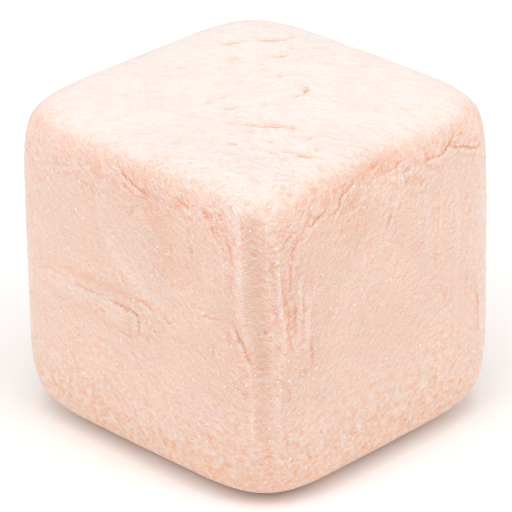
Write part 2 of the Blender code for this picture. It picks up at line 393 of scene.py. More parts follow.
def crowned_block(tree, given):
    """Nodes that map a gridded cube onto the crowned block, and return its geometry."""
    node = partial(add_node, tree)
    counts = {"Vertices " + axis: given["Vertices"] for axis in "XYZ"}
    cube = node("GeometryNodeMeshCube", {"Size": (2, 2, 2), **counts})[0]
    place = node("GeometryNodeInputPosition")[0]

    # The grid lines crowd towards the rounded edges along a sine
    turn = node(MATH, [given["Crowding"], math.pi / 2], operation="MULTIPLY")[0]
    reach = node(MATH, [turn], operation="SINE")[0]
    spread = node(MATH, [1.0, reach], operation="DIVIDE")[0]
    turned = node(VECTOR_MATH, {0: place, "Scale": turn}, operation="SCALE")[0]
    bent = node(VECTOR_MATH, [turned], operation="SINE")[0]
    grid = node(VECTOR_MATH, {0: bent, "Scale": spread}, operation="SCALE")[0]

    # Each point is drawn in until it lies on a puffed square in plan and in height
    size = node(VECTOR_MATH, [grid], operation="ABSOLUTE")[0]
    x, y, z = node(SEPARATE, [size])
    plan = given["Plan squareness"]
    powers = [node(MATH, [across, plan], operation="POWER")[0] for across in (x, y)]
    plan_sum = node(MATH, powers, operation="ADD")[0]
    plan_root = node(MATH, [1.0, plan], operation="DIVIDE")[0]
    outward = node(MATH, [plan_sum, plan_root], operation="POWER")[0]
    level = node(SEPARATE, [grid])[2]
    is_upper = node(MATH, [level, 0.0], operation="GREATER_THAN")[0]
    squareness = {0: is_upper, 2: given["Base squareness"], 3: given["Top squareness"]}
    upright = node(MIX, squareness)[0]
    out_power = node(MATH, [outward, upright], operation="POWER")[0]
    z_power = node(MATH, [z, upright], operation="POWER")[0]
    whole_sum = node(MATH, [out_power, z_power], operation="ADD")[0]
    root = node(MATH, [-1.0, upright], operation="DIVIDE")[0]
    shrink = node(MATH, [whole_sum, root], operation="POWER")[0]
    puffed = node(VECTOR_MATH, {0: grid, "Scale": shrink}, operation="SCALE")[0]

    # It leans a little towards its top, and its foot is pressed flat
    x, y, z = node(SEPARATE, [puffed])
    leant = []
    for across, taper in ((x, "Taper X"), (y, "Taper Y")):
        lean = node(MATH, [z, given[taper], 1.0], operation="MULTIPLY_ADD")[0]
        leant.append(node(MATH, [across, lean], operation="MULTIPLY")[0])
    foot = node(MATH, [given["Foot share"], 1.0], operation="SUBTRACT")[0]
    z = node(MATH, [z, foot], operation="MAXIMUM")[0]
    z = node(MATH, [z, foot], operation="SUBTRACT")[0]
    above_foot = node(MATH, [1.0, foot], operation="SUBTRACT")[0]
    halves = [node(MATH, [given[size], 0.5], operation="MULTIPLY")[0] for size in ("Width", "Depth")]
    halves.append(node(MATH, [given["Height"], above_foot], operation="DIVIDE")[0])
    unit = node("ShaderNodeCombineXYZ", [*leant, z])[0]
    halves = node("ShaderNodeCombineXYZ", halves)[0]
    shaped = node(VECTOR_MATH, [unit, halves], operation="MULTIPLY")[0]
    return node("GeometryNodeSetPosition", {"Geometry": cube, "Position": shaped})[0]


def block_tree(sizes, material):
    """The tree that makes the block: crowned, then puckered as the foam's skin dried."""
    tree = new_tree("Marshmallow block", sizes)
    node = partial(add_node, tree)
    given = node("NodeGroupInput")
    crowned = crowned_block(tree, given)
    normal = node("GeometryNodeInputNormal")[0]
    kept = {"Geometry": crowned, "Name": "facing", "Value": normal}
    faced = node("GeometryNodeStoreNamedAttribute", kept, data_type="FLOAT_VECTOR")[0]
    facing = node("GeometryNodeInputNamedAttribute", {"Name": "facing"}, data_type="FLOAT_VECTOR")[0]
    place = node("GeometryNodeInputPosition")[0]

    # Each pucker: its size, and its height as a share of the relief
    relief = None
    for size, share in ((8.0 * MM, 1.6), (2.6 * MM, 1.1), (0.9 * MM, 0.9)):
        scale = {"Vector": place, "Scale": 1 / size, "Detail": 1.0}
        wave = node(NOISE, scale)[0]
        centred = node(MATH, [wave, 0.5], operation="SUBTRACT")[0]
        part = [centred, share, relief if relief else 0.0]
        relief = node(MATH, part, operation="MULTIPLY_ADD")[0]
    drawn = streaks(tree, place, facing, 2.2 * MM, 0.6 * MM)
    relief = node(MATH, [drawn, 0.7, relief], operation="MULTIPLY_ADD")[0]

    # Starch fills the relief of the top, so it is calmer there
    up = node(SEPARATE, [facing])[2]
    calm = {"Value": up, "From Min": 0.2, "From Max": 0.9, "To Min": 1.0, "To Max": 0.3}
    calm = node(MAP_RANGE, calm, **EASED)[0]
    relief = node(MATH, [relief, calm], operation="MULTIPLY")[0]
    height = node(MATH, [relief, given["Relief"]], operation="MULTIPLY")[0]
    offset = node(VECTOR_MATH, {0: facing, "Scale": height}, operation="SCALE")[0]
    puckered = node("GeometryNodeSetPosition", {"Geometry": faced, "Offset": offset})[0]
    smooth = node("GeometryNodeSetShadeSmooth", {"Geometry": puckered})[0]
    end_tree(node, smooth, material)
    return tree


# --- Pressing the strips, the hollows and the folds -------------------------------------

ROUTE_STEP = 0.15 * MM  # between the points of a route
# A side's marks start where the skin faces it by the first, and are full the second further on
FACING_LEAST, FACING_RAMP = 0.15, 0.3
RIDGE_REACH = 4  # a ridge ends this many half widths from its route
RIDGE_ENDS, FOLD_ENDS = (0.02, 0.5), (0.03, 0.6)  # how bluntly they fade at their ends
FULL_HEIGHT = 0.15 * MM  # a ridge this high gets the most painted light, and a hollow this deep the most painted shade
STRIP_FADES = (11 * MM, 1.2 * MM)  # a strip fades over this length at its foot and at its top
STRIP_INSET = 0.6  # a strip looks pressed from this share of its border inwards
STRIP_FULL_DEPTH = 0.3 * MM  # a strip this deep looks fully pressed
RIM_CRUMPLE, FOLD_CRUMPLE = 0.8, 0.9  # how puckered the skin is at most, at the rim and by a fold
FOLD_JAG = 0.09 * MM  # how far a fold strays from its smooth route
JAG_LENGTH = 0.5 * MM  # and the length over which it strays
FOLD_HALF_WIDTH = 0.12 * MM  # of a fold with no depth
FOLD_WIDENING = 0.25  # this share of its depth is added to a fold's half width
FOLD_REACH = 1.3 * MM  # a fold moves nothing further away than this
CRUMPLE_REACH = 0.7 * MM  # the skin is puckered this far from a fold
RANK_REACH = 0.4 * MM  # the material shows the strongest fold within about this distance
RAGGED_LENGTH = 0.55 * MM  # a fold's line and depth change over about this length
RAGGED_SHIFT = 0.14 * MM  # and its line by about this much
DEPTH_SHARE, DEPTH_WAVER = 0.65, 0.9  # a fold's depth wavers about a share of the one given
LIP_SHARE = 0.5  # the lip beside a fold stands this share of its depth
LIP_PLACE, LIP_WIDTH = 2.2, 1.2  # in half widths of its fold
LIP_MIDDLE, LIP_WAVER, LIP_MOST = 0.6, 1.4, 1.5  # a lip's height wavers between 0 and the most
# These two are given for the sides and for the top
FOLD_DOWN = ((0.35, -0.94), (0.7, -0.7))  # the way a fold's lower side lies
FOLD_SLOPE = (0.6 * MM, 0.8 * MM)  # a fold falls away this gently on its upper side
BILLOW_LENGTH = 0.9 * MM  # crumpled skin swells in waves of this length
BILLOW_HEIGHT = 0.13 * MM
CAVITY_REACH = 0.012 * MM  # a vertex this far under its neighbours lies in a pit


def smooth_route(points, jag=0.0):
    """Points a short step apart along a curve through the given ones, strayed by noise."""
    ends = [points[0], *points, points[-1]]
    route = []
    for a, b, c, d in zip(ends, ends[1:], ends[2:], ends[3:]):
        a, b, c, d = (np.array(point) * MM for point in (a, b, c, d))
        steps = max(1, math.ceil(np.linalg.norm(c - b) / ROUTE_STEP))
        for step in range(steps):
            t = step / steps
            bend = (2 * a - 5 * b + 4 * c - d) * t**2
            curve = 2 * b + (c - a) * t + bend + (3 * b - a - 3 * c + d) * t**3
            route.append(curve / 2)
    route.append(np.array(points[-1]) * MM)
    if jag:
        for place in route:
            shift = noise.noise_vector(Vector((*place, 0.0)) / JAG_LENGTH)
            place += np.array(shift.xy) * jag
    return np.array(route)


def faded(along, end, power):
    """How strong a mark is along its route: 1 at its middle, and little at its ends."""
    return np.sin(math.pi * np.clip(along, end, 1 - end)) ** power


class Skin:
    """The block's vertices while its strips, hollows and folds are pressed into them."""

    def __init__(self, mesh):
        count = len(mesh.vertices)
        self.mesh = mesh
        self.points = np.empty((count, 3))
        self.facing = np.empty((count, 3))
        mesh.vertices.foreach_get("co", self.points.ravel())
        mesh.attributes["facing"].data.foreach_get("vector", self.facing.ravel())
        rough = [noise.noise_vector(Vector(point) / RAGGED_LENGTH) for point in self.points]
        self.ragged = np.array(rough)
        self.lift = np.zeros(count)
        self.sink = np.zeros(count)
        self.pressed = np.zeros(count)
        self.crumpled = np.zeros(count)
        self.relief_shade = np.zeros(count)
        self.fold_offset = np.full(count, FOLD_REACH)
        self.fold_share = np.zeros(count)
        self.fold_rank = np.zeros(count)

    def laid_on(self, side):
        """Every vertex's two coordinates on a side, and how far it faces that way."""
        outward, across, up, origin = (np.array(axis, float) for axis in SIDES[side])
        from_origin = self.points - origin
        toward = np.clip((self.facing @ outward - FACING_LEAST) / FACING_RAMP, 0, 1)
        return np.stack([from_origin @ across, from_origin @ up], axis=1), toward

    def near_route(self, side, route, reach):
        """The vertices near a route: which, how far to its side, how far along, how they face."""
        flat, toward = self.laid_on(side)
        inside = np.all((flat > route.min(0) - reach) & (flat < route.max(0) + reach), axis=1)
        near = np.flatnonzero(inside & (toward > 0))
        starts = route[:-1]
        runs = route[1:] - starts
        lengths = np.linalg.norm(runs, axis=1)
        from_start = flat[near][:, None] - starts
        share = np.clip((from_start * runs).sum(2) / lengths**2, 0, 1)
        offsets = from_start - share[..., None] * runs
        distances = np.linalg.norm(offsets, axis=2)
        nearest = distances.argmin(1)
        rows = np.arange(len(near))
        offset = offsets[rows, nearest]
        run = runs[nearest] / lengths[nearest, None]
        beside = np.sign(run[:, 0] * offset[:, 1] - run[:, 1] * offset[:, 0])
        before = np.concatenate([[0], lengths.cumsum()])[nearest]
        along = (before + share[rows, nearest] * lengths[nearest]) / lengths.sum()
        return near, distances[rows, nearest] * beside, along, toward[near]

    def raise_ridge(self, side, height, half_width, points):
        """A long ridge, or a hollow where the height is below 0, with painted light on a ridge and
        painted shade in a hollow.
        """
        route = smooth_route(points)
        near, distance, along, toward = self.near_route(side, route, RIDGE_REACH * half_width)
        profile = faded(along, *RIDGE_ENDS) * toward * np.exp(-((distance / half_width) ** 2))
        self.lift[near] += (height + RIDGE_UNEVEN * self.ragged[near, 1]) * profile
        # Painted light on a ridge and painted shade in a hollow
        self.relief_shade[near] -= profile * np.clip(height / FULL_HEIGHT, -1, 1)

    def press_strip(self, side, depth, left, right):
        """The flat strip that the saw pinched down an upright edge, between two borders."""
        flat, toward = self.laid_on(side)
        across, up = flat.T
        low = np.clip((up - STRIP_LOW) / STRIP_FADES[0], 0, 1)
        high = np.clip((STRIP_HIGH - up) / STRIP_FADES[1], 0, 1)
        (left_pucker, left), (right_pucker, right) = left, right
        left, right = (np.array(points[::-1]) * MM for points in (left, right))
        left = np.interp(up, left[:, 1], left[:, 0])
        right = np.interp(up, right[:, 1], right[:, 0])
        middle, half = (left + right) / 2, (right - left) / 2
        inward = np.clip(1 - ((across - middle) / half) ** 2, 0, 1)
        self.lift -= depth * inward * low * high * toward
        outside = np.abs(across - middle) - half
        inside = np.clip(-outside / STRIP_BORDER - STRIP_INSET, 0, 1) * low * high * toward
        self.pressed = np.maximum(self.pressed, inside * min(1, depth / STRIP_FULL_DEPTH))
        level = np.where(across < middle, left_pucker, right_pucker)
        beside = np.exp(-((outside / STRIP_CRUMPLE) ** 2)) * (outside > 0) * low * toward
        self.crumpled = np.maximum(self.crumpled, level * beside)

    def crumple_rim(self):
        """Under the top rim the skin is puckered all round."""
        band = np.exp(-(((self.points[:, 2] - RIM_MIDDLE) / RIM_REACH) ** 2))
        level = 1 - np.clip(self.facing[:, 2], 0, 1) ** 2
        self.crumpled = np.maximum(self.crumpled, RIM_CRUMPLE * band * level)

    def press_fold(self, side, depth, points):
        """A narrow fold, with a lip on its lower side where the skin overlaps."""
        route = smooth_route(points, FOLD_JAG)
        run = route[-1] - route[0]
        down = FOLD_DOWN[side == "top"]
        near, distance, along, toward = self.near_route(side, route, FOLD_REACH)
        distance *= math.copysign(1, run[0] * down[1] - run[1] * down[0])
        shift, deeper, higher = self.ragged[near].T
        distance += RAGGED_SHIFT * shift
        fade = faded(along, *FOLD_ENDS) * toward
        half_width = FOLD_HALF_WIDTH + depth * FOLD_WIDENING
        steep = np.exp(-((distance / half_width) ** 2))
        gentle = np.exp(-np.abs(distance) / FOLD_SLOPE[side == "top"])
        uneven = DEPTH_SHARE + DEPTH_WAVER * deeper
        hollow = depth * fade * uneven * np.where(distance > 0, steep, gentle)
        self.sink[near] = np.maximum(self.sink[near], hollow)
        lip = np.exp(-(((distance - LIP_PLACE * half_width) / (LIP_WIDTH * half_width)) ** 2))
        waver = np.clip(LIP_MIDDLE + LIP_WAVER * higher, 0, LIP_MOST)
        self.lift[near] += LIP_SHARE * depth * fade * waver * lip
        share = fade * min(1.0, depth / (DEEP * MM))
        around = FOLD_CRUMPLE * share * np.exp(-((distance / CRUMPLE_REACH) ** 2))
        self.crumpled[near] = np.maximum(self.crumpled[near], around)
        rank = share * np.exp(-((distance / RANK_REACH) ** 2))
        first = rank > self.fold_rank[near]
        chosen = near[first]
        self.fold_rank[chosen] = rank[first]
        self.fold_offset[chosen] = distance[first]
        self.fold_share[chosen] = share[first]

    def write(self):
        """Move the vertices, and keep what the material reads as attributes."""
        self.crumpled *= 1 - self.pressed
        billow = np.array([abs(noise.noise(Vector(point) / BILLOW_LENGTH)) for point in self.points])
        self.lift += BILLOW_HEIGHT * self.crumpled * (billow - billow.mean())
        self.points += self.facing * (self.lift - self.sink)[:, None]
        self.points[:, 2] = np.maximum(self.points[:, 2], 0)
        self.mesh.vertices.foreach_set("co", self.points.ravel())
        found = {
            "pressed": self.pressed,
            "relief_shade": self.relief_shade,
            "crumpled": self.crumpled,
            "fold_offset": self.fold_offset,
            "fold_share": self.fold_share,
            "pit_shade": self.pit_shade(),
        }
        for name, values in found.items():
            self.mesh.attributes.new(name, "FLOAT", "POINT").data.foreach_set("value", values)
        self.mesh.update()

    def pit_shade(self):
        """How hollow the skin is at each vertex, from -1 on a crest to 1 in a pit, which the material
        paints as shade.
        """
        ends = np.empty((len(self.mesh.edges), 2), int)
        self.mesh.edges.foreach_get("vertices", ends.ravel())
        count = len(self.points)
        joined = np.bincount(ends.ravel(), minlength=count)
        height = np.zeros(count)
        for axis in range(3):
            across = self.points[:, axis]
            around = np.bincount(ends[:, 0], across[ends[:, 1]], count)
            around += np.bincount(ends[:, 1], across[ends[:, 0]], count)
            height += (around / joined - across) * self.facing[:, axis]
        return np.clip(height / CAVITY_REACH, -1, 1)


# The small folds that follow a rule, in millimetres and degrees. Across a face they lie in
# bands: how many, lowest and highest, spread from the flow, longest and deepest
BANDS = (
    (46, 23.4, 27.2, 60, 1.4, 0.08),
    (60, 6.0, 24.0, 36, 1.4, 0.045),
    (26, 2.5, 8.0, 90, 1.0, 0.06),
)
FACE_REACH, TOP_REACH = 12.6, 12.5  # they lie this far from a face's middle at most
ACROSS_STRIP = (3.0, 25.8)  # the lowest and the highest that sag across a strip
BESIDE_STRIP, ON_TOP = 26, 34  # how many stand beside each strip, and lie on the top
SLIGHTEST, SLIGHT_MOST = 0.03, 0.07  # how deep those are
LEAST = 0.35  # the smallest of a band is this share of its largest
BEND = 0.3  # a fold bends by up to this share of its half length


def small_folds(draw):
    """The small folds that follow a rule: the side, the depth and the points of each."""
    for side in FACES:
        flow = 52 if side in ("right", "left") else -45
        for count, low, high, spread, longest, deepest in BANDS:
            for _ in range(count):
                middle = (draw.uniform(-FACE_REACH, FACE_REACH), draw.uniform(low, high))
                turn = flow + draw.gauss(0, spread / 2)
                yield side, draw.uniform(LEAST, 1) * deepest, bent_fold(draw, middle, turn, longest)
    for side in EDGES:
        height, highest = ACROSS_STRIP
        while height < highest:
            reach = draw.uniform(0.3, 0.9)
            middle = draw.uniform(-0.4, 0.4)
            sag = draw.uniform(0.05, 0.3)
            ends = height + sag
            points = ((middle - reach, ends), (middle, height - sag), (middle + reach, ends))
            yield side, draw.uniform(0.01, 0.03), points
            height += draw.uniform(0.35, 1.1)
        for _ in range(BESIDE_STRIP):
            middle = (draw.choice((-1, 1)) * draw.uniform(2.0, 4.2), draw.uniform(4, 25))
            depth = draw.uniform(SLIGHTEST, SLIGHT_MOST)
            yield side, depth, bent_fold(draw, middle, draw.gauss(90, 14), 2.0)
    for _ in range(ON_TOP):
        middle = (draw.uniform(-TOP_REACH, TOP_REACH), draw.uniform(-TOP_REACH, TOP_REACH))
        depth = draw.uniform(SLIGHTEST, SLIGHT_MOST)
        yield "top", depth, bent_fold(draw, middle, draw.gauss(45, 40), 0.8)


def bent_fold(draw, middle, turn, longest):
    """Three points of a short, slightly bent fold, in millimetres."""
    half = draw.uniform(LEAST, 1) * longest / 2
    run = np.array((math.cos(math.radians(turn)), math.sin(math.radians(turn))))
    bend = np.array((-run[1], run[0])) * draw.uniform(-BEND, BEND) * half
    return middle - run * half, middle + bend, middle + run * half


# --- Materials --------------------------------------------------------------------------

STREAKS_LOST = 0.6  # share of the streaks that fades low on the sides
STRIP_CALM, STRIP_SHADE = 0.5, 0.05  # a pressed strip is smoother, and darker by painted shade, by these shares
LIP_WAVE = 0.13  # a crease's lip stands where the wave is this high
CREASES_CRUMPLED, CREASES_ANYWHERE = 0.85, 0.12  # how clear creases are on crumpled skin, and anywhere
LINE_WAVER = 0.5 * MM  # the line of a fold wavers by up to half of this
OPENING = 0.4  # a strong fold is open over this much more of its line
LIP_OFFSET, LIP_HALF_WIDTH = 0.28 * MM, 0.16 * MM  # of the pale lip below a fold
LIP_HIGHLIGHT = 0.3  # a lip on the top is painted paler, a painted highlight, by this share
FILM_THINNESS = 0.36  # how far bare skin shows through the film on the top
CREASE_SHADE, FOLD_SHADE = 0.65, 0.9  # a crease's painted shade against a fold's, and a fold's painted shade in full


def new_material(name):
    """An empty material, the way to add nodes to it, and its Object coordinates."""
    material = bpy.data.materials.new(name)
    material.use_nodes = True
    material.node_tree.nodes.clear()
    node = partial(add_node, material.node_tree)
    return material, node, node("ShaderNodeTexCoord")["Object"]


def foam_material(settings):
    """Whipped sugar foam under starch: matte, a little translucent, and nearly white where the
    starch lies thick on top, with painted shade deeper pink in folds and pits and painted highlights on
    lips."""
    material, node, place = new_material("whipped sugar foam under starch")
    tree = material.node_tree
    facing = node("ShaderNodeAttribute", attribute_name="facing")["Vector"]
    up = node(SEPARATE, [facing])[2]
    marks = []
    for name in ("fold_offset", "fold_share", "pressed", "relief_shade", "crumpled", "pit_shade"):
        marks.append(node("ShaderNodeAttribute", attribute_name=name)["Fac"])
    offset, share, pressed, relief_shade, crumpled, pit_shade = marks

    # Bubbles of the foam are 0.05 mm across; they are drawn as a 0.16 mm grain, to show.
    # Each noise is given by its size in millimetres and its detail
    noises = []
    for size, detail in ((0.16, 1.5), (0.45, 1.0), (0.9, 2.0), (4.0, 2.0), (0.08, 0.0)):
        speckle = {"Vector": place, "Scale": 1 / (size * MM), "Detail": detail}
        noises.append(node(NOISE, speckle)[0])
    grain, pebbles, lumps, patches, powder = noises
    coarse = streaks(tree, place, facing, 2.0 * MM, 0.45 * MM)
    fine = streaks(tree, place, facing, 0.7 * MM, 0.12 * MM)

    # In the pressed strips the fine streaks lie level, across the strip
    turned = node(VECTOR_MATH, [facing, place], operation="CROSS_PRODUCT")[0]
    across = node(SEPARATE, [turned])[2]
    above_floor = node(SEPARATE, [place])[2]
    across = node(MATH, [across, 1 / (0.9 * MM)], operation="MULTIPLY")[0]
    drawn = node(MATH, [above_floor, 1 / (0.16 * MM)], operation="MULTIPLY")[0]
    level = node("ShaderNodeCombineXYZ", {0: across, 2: drawn})[0]
    level = node(NOISE, {"Vector": level, "Scale": 1.0, "Detail": 2.0, "Distortion": 0.6})[0]
    level = node(MATH, [level, 0.5], operation="SUBTRACT")[0]
    fine = node(MIX, {0: pressed, 2: fine, 3: level})[0]

    # The saw's streaks show in patches, and are rubbed away between them
    kept = {"Value": patches, "From Min": 0.36, "From Max": 0.6, "To Min": 0.45, "To Max": 1.5}
    kept = node(MAP_RANGE, kept, **EASED)[0]
    fine = node(MATH, [fine, kept], operation="MULTIPLY")[0]

    # Low on the sides the streaks fade, and the skin is pebbly instead
    low = {"Value": above_floor, "From Min": 3 * MM, "From Max": 13 * MM, "To Min": 1.0, "To Max": 0.0}
    low = node(MAP_RANGE, low, **EASED)[0]
    streaky = node(MATH, [low, -STREAKS_LOST, 1.0], operation="MULTIPLY_ADD")[0]
    fine = node(MATH, [fine, streaky], operation="MULTIPLY")[0]
    mottle = node(MATH, [pebbles, lumps], operation="ADD")[0]
    mottle = node(MATH, [mottle, 1.0], operation="SUBTRACT")[0]
    mottle = node(MATH, [mottle, low], operation="MULTIPLY")[0]

    # The skin is roughest towards the front edge, where the block was pulled off its slab,
    # and smoother where a strip is pressed
    forward = node(VECTOR_MATH, [place, SIDES["front edge"][0]], operation="DOT_PRODUCT")[1]
    rougher = {"Value": forward, "From Min": 0.0, "From Max": WIDTH / 2, "To Min": 0.8, "To Max": 1.5}
    rougher = node(MAP_RANGE, rougher, **EASED)[0]
    smoother = node(MATH, [pressed, -STRIP_CALM, 1.0], operation="MULTIPLY_ADD")[0]
    rougher = node(MATH, [rougher, smoother], operation="MULTIPLY")[0]
    fine = node(MATH, [fine, rougher], operation="MULTIPLY")[0]
    grit = node(MATH, [grain, 0.5], operation="SUBTRACT")[0]
    grit = node(MATH, [grit, rougher], operation="MULTIPLY")[0]

    # Puckers: thin creases of painted shade where a streaked wave crosses zero, each with a lip beside
    # it painted paler as a highlight
    wave = streaks(tree, place, facing, 1.5 * MM, 0.55 * MM, 0.8)
    off_crease = node(MATH, [wave], operation="ABSOLUTE")[0]
    crease = {"Value": off_crease, "From Min": 0.0, "From Max": 0.08, "To Min": 1.0, "To Max": 0.0}
    crease = node(MAP_RANGE, crease, **EASED)[0]
    rim = node(MATH, [wave, LIP_WAVE], operation="SUBTRACT")[0]
    rim = node(MATH, [rim], operation="ABSOLUTE")[0]
    rim = {"Value": rim, "From Min": 0.0, "From Max": 0.07, "To Min": 1.0, "To Max": 0.0}
    rim = node(MAP_RANGE, rim, **EASED)[0]
    broken = node(MAP_RANGE, {"Value": lumps, "From Min": 0.42, "From Max": 0.6}, **EASED)[0]
    pucker = node(MATH, [crumpled, CREASES_CRUMPLED, CREASES_ANYWHERE], operation="MULTIPLY_ADD")[0]
    pucker = node(MATH, [pucker, broken], operation="MULTIPLY")[0]
    crease = node(MATH, [crease, pucker], operation="MULTIPLY")[0]
    rim = node(MATH, [rim, pucker], operation="MULTIPLY")[0]

    # The core of a fold is a wavering line of painted shade, broken where the skin has closed over it,
    # with a pale lip beside it that is a painted highlight
    waver = node(MATH, [grain, 0.5], operation="SUBTRACT")[0]
    offset = node(MATH, [waver, LINE_WAVER, offset], operation="MULTIPLY_ADD")[0]
    away = node(MATH, [offset], operation="ABSOLUTE")[0]
    core = {"Value": away, "From Min": 0.0, "From Max": 0.12 * MM, "To Min": 1.0, "To Max": 0.0}
    core = node(MAP_RANGE, core, **EASED)[0]
    opening = node(MATH, [share, OPENING, lumps], operation="MULTIPLY_ADD")[0]
    opening = node(MAP_RANGE, {"Value": opening, "From Min": 0.5, "From Max": 0.72})[0]
    line = node(MATH, [core, share], operation="MULTIPLY")[0]
    line = node(MATH, [line, opening], operation="MULTIPLY")[0]

    # Painted shade: on its upper side a fold is darkened further out, in specks, and furthest on the
    # top
    reach = {"Value": up, "From Min": 0.6, "From Max": 0.9, "To Min": -0.3 * MM, "To Max": -1.1 * MM}
    reach = node(MAP_RANGE, reach)[0]
    tail = node(MAP_RANGE, {"Value": offset, "From Min": reach, "From Max": 0.0}, **EASED)[0]
    edge = {"Value": offset, "From Min": 0.0, "From Max": 0.06 * MM, "To Min": 1.0, "To Max": 0.0}
    edge = node(MAP_RANGE, edge)[0]
    specks = {"Value": grain, "From Min": 0.4, "From Max": 0.62, "To Min": 0.25, "To Max": 1.0}
    specks = node(MAP_RANGE, specks)[0]
    for value in (edge, share, specks):
        tail = node(MATH, [tail, value], operation="MULTIPLY")[0]
    stronger = {"Value": up, "From Min": 0.5, "From Max": 0.9, "To Min": 0.4, "To Max": 0.75}
    stronger = node(MAP_RANGE, stronger)[0]
    line = node(MATH, [tail, stronger, line], operation="MULTIPLY_ADD")[0]
    # The pale lip is a painted highlight, and it also lifts the bump
    beside = node(MATH, [offset, LIP_OFFSET], operation="SUBTRACT")[0]
    beside = node(MATH, [beside], operation="ABSOLUTE")[0]
    lip = {"Value": beside, "From Min": 0.0, "From Max": LIP_HALF_WIDTH, "To Min": 1.0, "To Max": 0.0}
    lip = node(MAP_RANGE, lip, **EASED)[0]
    lip = node(MATH, [lip, share, rim], operation="MULTIPLY_ADD")[0]

    # Heights in millimetres
    height = 0.0
    for value, weight in (
        (powder, 0.02),
        (grit, 0.055),
        (pebbles, 0.12),
        (mottle, 0.06),
        (coarse, 0.04),
        (fine, 0.07),
        (crease, -0.03),
        (line, -0.03),
        (lip, 0.02),
    ):
        height = node(MATH, [value, weight, height], operation="MULTIPLY_ADD")[0]
    bump = node("ShaderNodeBump", {"Strength": 1.0, "Distance": MM, "Height": height})[0]

    # Painted light and shade: slopes that face above the front edge are painted paler, and slopes that
    # face away deeper
    slope_light = node(VECTOR_MATH, [bump, facing], operation="SUBTRACT")[0]
    slope_light = node(VECTOR_MATH, [slope_light, PAINTED_LIGHT_FROM], operation="DOT_PRODUCT")[1]
    slope_light = node(MATH, [slope_light, streaky], operation="MULTIPLY")[0]

    # Painted shade: the foot is barer and deeper in colour, more so towards the floor
    foot = {"Value": above_floor, "From Min": 0.0, "From Max": 8 * MM, "To Min": 1.0, "To Max": 0.0}
    foot = node(MAP_RANGE, foot, **EASED)[0]

    # How bare the foam is, from well starched skin at 0 to open foam at 1; painted shade and light from
    # the foot, the slopes, the pits, the relief and the strip go into it
    bare = settings.bareness
    for value, middle, weight in (
        (foot, 0.0, 0.26),
        (slope_light, 0.0, -1.35),
        (grit, 0.0, -0.3),
        (fine, 0.0, -0.3),
        (mottle, 0.0, -0.9),
        (lumps, 0.5, -0.1),
        (patches, 0.5, -0.1),
        (coarse, 0.0, -0.1),
        (pit_shade, 0.0, 0.15),
        (relief_shade, 0.0, 0.12),
        # painted shade in the pressed strip
        (pressed, 0.0, 0.05),
        (crumpled, 0.0, -0.08),
        (lip, 0.0, -0.15),
    ):
        centred = node(MATH, [value, middle], operation="SUBTRACT")[0]
        bare = node(MATH, [centred, weight, bare], operation="MULTIPLY_ADD")[0]
    skin = {0: bare, 6: settings.skin_colour, 7: settings.foam_colour}
    skin = node(MIX, skin, data_type="RGBA", clamp_factor=True)[2]

    # Starch lies where the skin faces up; it is brushed off in streaks round the rim, and thinned by
    # painted shade in the hollows
    x, y, _ = node(SEPARATE, [facing])
    corner = node(MATH, [x, y], operation="MULTIPLY")[0]
    laid = up
    for value, weight in ((coarse, 0.7), (fine, 0.7), (corner, -0.8), (relief_shade, -0.25)):
        laid = node(MATH, [value, weight, laid], operation="MULTIPLY_ADD")[0]
    laid = node(MAP_RANGE, {"Value": laid, "From Min": 0.44, "From Max": 1.1}, **EASED)[0]
    thin = node(MATH, [lip, -LIP_HIGHLIGHT, bare], operation="MULTIPLY_ADD")[0]
    thin = node(MATH, [thin, FILM_THINNESS], operation="MULTIPLY")[0]
    film = {0: thin, 6: settings.starch_colour, 7: settings.skin_colour}
    film = node(MIX, film, data_type="RGBA", clamp_factor=True)[2]
    colour = node(MIX, {0: laid, 6: skin, 7: film}, data_type="RGBA", clamp_factor=True)[2]
    # Painted shade in the creases and folds, mixed towards the fold shade colour
    depth = node(MATH, [crease, CREASE_SHADE, line], operation="MULTIPLY_ADD")[0]
    depth = node(MATH, [depth, FOLD_SHADE], operation="MULTIPLY")[0]
    colour = {0: depth, 6: colour, 7: settings.fold_shade_colour}
    colour = node(MIX, colour, data_type="RGBA", clamp_factor=True)[2]

    # Painted shade in the open bubbles: a grain drawn at 0.08 mm that darkens and lightens the colour,
    # and the starch on top fills them; painted shade darkens the pressed strip too
    bubble_shade = node(MAP_RANGE, {"Value": powder, "To Min": -0.15, "To Max": 0.2})[0]
    filled = node(MAP_RANGE, {"Value": laid, "To Min": 1.0, "To Max": 0.3})[0]
    filled = node(MATH, [filled, smoother], operation="MULTIPLY")[0]
    shade = node(MATH, [pressed, -STRIP_SHADE, 1.0], operation="MULTIPLY_ADD")[0]
    shade = node(MATH, [bubble_shade, filled, shade], operation="MULTIPLY_ADD")[0]
    colour = node(VECTOR_MATH, {0: colour, "Scale": shade}, operation="SCALE")[0]
    rough = node(MAP_RANGE, {"Value": grain, "To Min": 0.78, "To Max": 0.95})[0]
    surface = {
        "Base Color": colour,
        "Roughness": rough,
        "Normal": bump,
        "IOR": 1.45,
        "Specular IOR Level": 0.3,
        "Subsurface Weight": 0.75,
        "Subsurface Radius": (1.0, 0.4, 0.25),
        "Subsurface Scale": 0.8 * MM,
        "Sheen Weight": 0.1,
        "Sheen Roughness": 0.5,
    }
    finish = node("ShaderNodeBsdfPrincipled", surface)[0]
    node("ShaderNodeOutputMaterial", {"Surface": finish})
    return material


